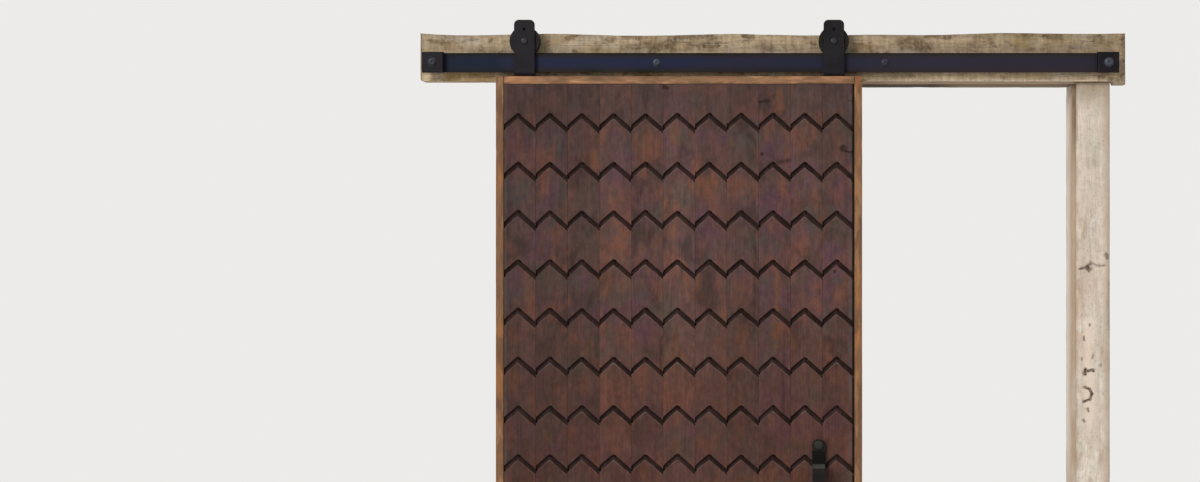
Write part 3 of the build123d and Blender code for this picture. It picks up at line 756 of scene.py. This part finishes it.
def refine(bm, marks, front):
    """Cuts the faces small around the marks that are dents."""
    for mark in marks:
        candidates = bm.edges
        for edge_length in mark_cut_lengths:
            reach = mark.radius * mark_cut_reach + edge_length
            chosen = []
            for e in candidates:
                end = e.verts[0].co
                if end.y > front + mark_dent_depth or not mark.near(end, reach):
                    continue
                if mark.distance(end) < reach and e.calc_length() > edge_length:
                    chosen.append(e)
            made = bmesh.ops.subdivide_edges(bm, edges=chosen, cuts=1, use_grid_fill=True)
            corners = {v for v in made["geom"] if isinstance(v, bmesh.types.BMVert)}
            candidates = {e for v in corners for e in v.link_edges}
    bmesh.ops.triangulate(bm, faces=[f for f in bm.faces if len(f.verts) > 4])


def mark_shares(bm, marks, front):
    """For each vertex, how strongly the marks show there. Their outlines are ragged."""
    shares = [0.0] * len(bm.verts)
    for mark in marks:
        reach = mark.radius * mark_colour_reach
        for index, v in enumerate(bm.verts):
            if v.co.y < front + mark_colour_depth and mark.near(v.co, reach):
                rough = 1.0 + mark_ragged * noise.noise(v.co * (mark_ragged_finer / mark.radius))
                away = mark.distance(v.co) / mark.radius * rough
                shares[index] = max(shares[index], mark.strength * smooth(mark_colour_end - away))
    return shares


def press_in(bm, marks, front):
    """Dents the board's front where the marks are."""
    for mark in marks:
        for v in bm.verts:
            reach = mark.radius * mark_dent_reach
            if v.co.y < front + mark_dent_depth and mark.near(v.co, reach):
                v.co.y += mark.dent * smooth(mark_dent_end - mark.distance(v.co) / mark.radius)


def stroke_shift(co, number):
    """How far a point of the face moves: the strokes widen, the falling ones drop from under the
    peak, all waver a little, and the front steps back in a narrow rebate at its right edge."""
    inside = (co.x - face_left) / plank_width - (number - 1)
    row = round((face_top - row_drop - co.z) / row_pitch)
    level = face_top - row_drop - row * row_pitch
    above = co.z - (level + tooth_rise / 2 - abs(inside - 0.5) * 2 * tooth_rise)
    falling = min(1.0, max(0.0, (inside - falling_start) / (falling_full - falling_start)))
    side = min(1.0, max(-1.0, above / stroke_half))
    wider = side * (rising_up + (falling_up - rising_up) * falling if side > 0 else wider_down)
    at = Vector((co.x * drift_finer, drift_seed, co.z * drift_finer))
    drift = 1.0 + drift_share * noise.noise(at)
    near = smooth((stroke_half + stroke_fade - abs(above)) / stroke_fade)
    step = waver_most * noise.noise(Vector((number * step_by_plank, row * step_by_row, 1.0)))
    at = Vector((co.x * waver_finer, waver_seed, co.z * waver_finer))
    waver = waver_most * noise.noise(at)
    from_ends = (face_top - co.z, co.z - face_low)
    ends = smooth(from_ends[0] / stroke_end_fade) * smooth(from_ends[1] / stroke_end_fade)
    rise = (wider * drift - falling_drop * falling) * near + step + waver
    back = 0.0
    if co.y < face_front + groove_depth + rebate_edge:
        from_right = face_right - co.x
        back = rebate_depth * smooth((rebate_width + rebate_edge - from_right) / (2 * rebate_edge))
    return Vector((0.0, back, rise * ends))


def edge_shares(bm):
    """For each vertex, 1 where an edge of the board runs and 0 on its faces."""
    shares = []
    for v in bm.verts:
        sharpest = max((e.calc_face_angle(0.0) for e in v.link_edges), default=0.0)
        shares.append(min(1.0, sharpest / full_edge_angle))
    return shares


def weather(bm, edges, low, high, swell, grit, chip):
    """Moves the vertices inwards: slow unevenness along the board, fine grit and chipped edges."""
    longest = max(range(3), key=lambda axis: high[axis] - low[axis])
    stretch = [slow_along if axis == longest else slow_across for axis in range(3)]
    moves = []
    for v, on_edge in zip(bm.verts, edges):
        at = Vector([v.co[axis] * stretch[axis] for axis in range(3)])
        slow = 0.5 + 0.5 * noise.noise(at)
        fine = 0.5 + 0.5 * noise.noise(at * grit_finer)
        bite = max(0.0, noise.noise(v.co * chip_finer) + chip_bias) ** 2 * on_edge
        moves.append(-v.normal * (swell * slow + grit * fine + chip * bite))
    for v, move in zip(bm.verts, moves):
        v.co += move


def board(name, material, steps, easing, swell=0.0006, grit=0.0002, chip=0.0012, marks=()):
    """A weathered board in place of a CAD board. Its edges, marks and depth are point attributes.
    Steps are the spacing of its vertices on each axis, and swell, grit and chip how far they move."""
    low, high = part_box(name)
    bm = board_mesh(name, easing)
    slice_up(bm, low, high, steps)
    made = [Mark(*mark) for mark in marks]
    here = [m for m in made if any(low.x - m.radius < p.x < high.x + m.radius for p in m.points)]
    dented = [m for m in here if m.dent > 0.0]
    refine(bm, dented, low.y)
    bm.normal_update()
    shares = {
        "edge": edge_shares(bm),
        "stain_and_shade": mark_shares(bm, [m for m in here if m.kind == "stain_and_shade"], low.y),
        "warm": mark_shares(bm, [m for m in here if m.kind == "warm"], low.y),
        "depth": [(v.co.y - low.y) / groove_depth for v in bm.verts],
    }
    press_in(bm, dented, low.y)
    if name in planks:
        for v in bm.verts:
            v.co += stroke_shift(v.co, planks.index(name) + 1)
    weather(bm, shares["edge"], low, high, swell, grit, chip)
    mesh = bpy.data.meshes.new(f"{name}_worn")
    bm.to_mesh(mesh)
    bm.free()
    for key, values in shares.items():
        mesh.attributes.new(key, "FLOAT", "POINT").data.foreach_set("value", values)
    mesh.shade_smooth()
    mesh.set_sharp_from_angle(angle=smooth_angle)
    mesh.materials.append(material)
    piece = bpy.data.objects.new(f"{name}_worn", mesh)
    bpy.context.scene.collection.objects.link(piece)
    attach(piece, nodes[name]["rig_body"])
    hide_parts(name)


def frame_boards():
    board("header_board", header_wood(), (0.006, 0.012, 0.005), easing=0.0025,
          swell=0.0012, grit=0.0003, chip=0.0030, marks=header_marks)
    pale = casing_wood()
    for name, marks in (("casing_right", casing_marks), ("casing_left", ())):
        board(name, pale, (0.007, 0.010, 0.008), easing=0.0015, marks=marks)
    upright = jamb_wood("Z", "side_jamb").finish()
    for name in ("jamb_left", "jamb_right"):
        board(name, upright, (0.010, 0.012, 0.012), easing=0.0010)
    board("jamb_head", head_jamb_wood(), (0.012, 0.012, 0.010), easing=0.0010)


def door_boards():
    for number, name in enumerate(planks, start=1):
        board(name, face_wood(number, plank_gains[number - 1]), (0.006, 0.007, 0.008),
              easing=0.0005, swell=0.0004, grit=0.0001, chip=0.0006, marks=face_marks)
    side = strip_wood("side_strip", "Z", (120, 85, 59), [
        ((148, 98, 58), 0.8, 0.46, 5.0, 14.0),
        ((104, 74, 54), 0.8, 0.48, 9.0, 30.0),
        ((160, 120, 84), 0.6, 0.50, 12.0, 60.0),
    ])
    level = strip_wood("level_strip", "X", (124, 92, 66), [
        ((158, 112, 78), 0.8, 0.46, 6.0, 16.0),
        ((104, 78, 54), 0.8, 0.48, 10.0, 40.0),
        ((184, 140, 100), 0.6, 0.52, 14.0, 60.0),
    ])
    for name in ("edge_strip_left", "edge_strip_right"):
        board(name, side, (0.007, 0.008, 0.008), easing=0.0010)
    for name in ("edge_strip_top", "edge_strip_bottom"):
        board(name, level, (0.008, 0.008, 0.007), easing=0.0010)
    board("door_core", core_wood(), (0.020, 0.012, 0.020), easing=0.0008)


# Steel

def dress(names, material):
    """Gives CAD nodes their material."""
    for name in names:
        data = nodes[name].data
        if not data.materials:
            data.materials.append(material)
        for place in nodes[name].material_slots:
            place.material = material


def steel_pieces():
    dress(["track_rail"], rail_steel())
    stops = steel("stop_steel", (24, 20, 26), rough=0.45)
    dress(["end_stop_left", "end_stop_right"], stops.finish())
    black = steel("black_steel", (24, 21, 24), rough=0.48)
    dress(["standoff_spacers", "hanger_strap_left", "hanger_strap_right", "floor_guide", "axle_spacers"],
          black.finish())
    wheels = steel("wheel_steel", (25, 22, 19), rough=0.45)
    dress(["wheel_left", "wheel_right"], wheels.finish())
    dress(["rail_lag_screws", "rail_washers", "stop_lag_screws", "stop_washers", "guide_screws",
           "hanger_screws"], screw_steel())
    axles = steel("axle_steel", (34, 33, 36), rough=0.36, gloss=0.4, metallic=0.3)
    dress(["axle_bolts", "axle_washers", "axle_nuts"], axles.finish())
    dress(["pull_handle"], handle_iron())
    screws = steel("handle_screw_iron", (38, 37, 32), rough=0.45, gloss=0.15, worn=(88, 84, 78),
                   wear=0.5)
    dress(["handle_screws"], screws.finish())
    bearings = steel("bearing_steel", (150, 150, 152), rough=0.3, gloss=0.5, metallic=0.9)
    dress(["wheel_bearing_left", "wheel_bearing_right", "bearing_inner_races"], bearings.finish())


# Floor, light and camera

def faded(s):
    """The floor as the camera sees it runs out into the background."""
    path = s.add("ShaderNodeLightPath")
    shown = s.add("ShaderNodeEmission", {"Color": linear(background), "Strength": 1.0})
    away = s.add("ShaderNodeVectorMath", {0: s.place}, operation="LENGTH").outputs["Value"]
    share = s.spread(away, floor_radius * 0.4, floor_radius * 0.96)
    share = s.math("MULTIPLY", share, path.outputs["Is Camera Ray"])
    blend = s.add("ShaderNodeMixShader", {0: share, 1: s.surface.outputs[0], 2: shown.outputs[0]})
    output = s.tree.nodes["Material Output"]
    s.join(output.inputs["Surface"], blend.outputs[0])


def stage_floor():
    mesh = bpy.data.meshes.new("floor")
    bm = bmesh.new()
    bmesh.ops.create_circle(bm, cap_ends=True, radius=floor_radius, segments=128)
    bm.to_mesh(mesh)
    bm.free()
    floor = bpy.data.objects.new("floor", mesh)
    bpy.context.scene.collection.objects.link(floor)
    floor.location = (0.0, 0.0, cad_low.z)
    s = Shader("floor")
    s.colour = linear(floor_colour)
    s.scale(s.spread(s.noise(s.place, 1.5, 2.0), 0.3, 0.7, 0.98, 1.0))
    s.set(Roughness=0.9, Specular_IOR_Level=0.1)
    faded(s)
    mesh.materials.append(s.finish())


def sky():
    """The world: an even light on the object, and a pale background for what looks at it."""
    world = bpy.data.worlds.new("studio")
    bpy.context.scene.world = world
    world.use_nodes = True
    tree = world.node_tree
    tree.nodes.clear()
    path = tree.nodes.new("ShaderNodeLightPath")
    seen = path.outputs["Is Camera Ray"]
    for name in ("Is Glossy Ray", "Is Transmission Ray"):
        either = tree.nodes.new("ShaderNodeMath")
        either.operation = "MAXIMUM"
        tree.links.new(seen, either.inputs[0])
        tree.links.new(path.outputs[name], either.inputs[1])
        seen = either.outputs[0]
    light = tree.nodes.new("ShaderNodeBackground")
    light.inputs["Color"].default_value = (1.0, 1.0, 1.0, 1.0)
    light.inputs["Strength"].default_value = sky_strength
    shown = tree.nodes.new("ShaderNodeBackground")
    shown.inputs["Color"].default_value = linear(background)
    shown.inputs["Strength"].default_value = 1.0
    choice = tree.nodes.new("ShaderNodeMixShader")
    tree.links.new(seen, choice.inputs[0])
    tree.links.new(light.outputs[0], choice.inputs[1])
    tree.links.new(shown.outputs[0], choice.inputs[2])
    output = tree.nodes.new("ShaderNodeOutputWorld")
    tree.links.new(choice.outputs[0], output.inputs[0])


def lamp(name, place, size, power):
    """A soft square lamp that looks at the middle of the object."""
    data = bpy.data.lights.new(name, "AREA")
    data.shape = "SQUARE"
    data.size = size
    data.energy = power
    light = bpy.data.objects.new(name, data)
    bpy.context.scene.collection.objects.link(light)
    light.location = place
    aim = (cad_low + cad_high) / 2 - Vector(place)
    light.rotation_euler = aim.to_track_quat("-Z", "Y").to_euler()


def camera():
    data = bpy.data.cameras.new("camera")
    data.lens = camera_lens
    data.shift_x = camera_shift
    eye = bpy.data.objects.new("camera", data)
    bpy.context.scene.collection.objects.link(eye)
    eye.location = camera_place
    eye.rotation_euler = (math.radians(90), 0.0, 0.0)
    bpy.context.scene.camera = eye


camera()
sky()
lamp("key", key_place, key_size, key_power)
lamp("fill", fill_place, fill_size, fill_power)
stage_floor()
frame_boards()
door_boards()
steel_pieces()
bpy.context.scene.view_settings.view_transform = "Standard"
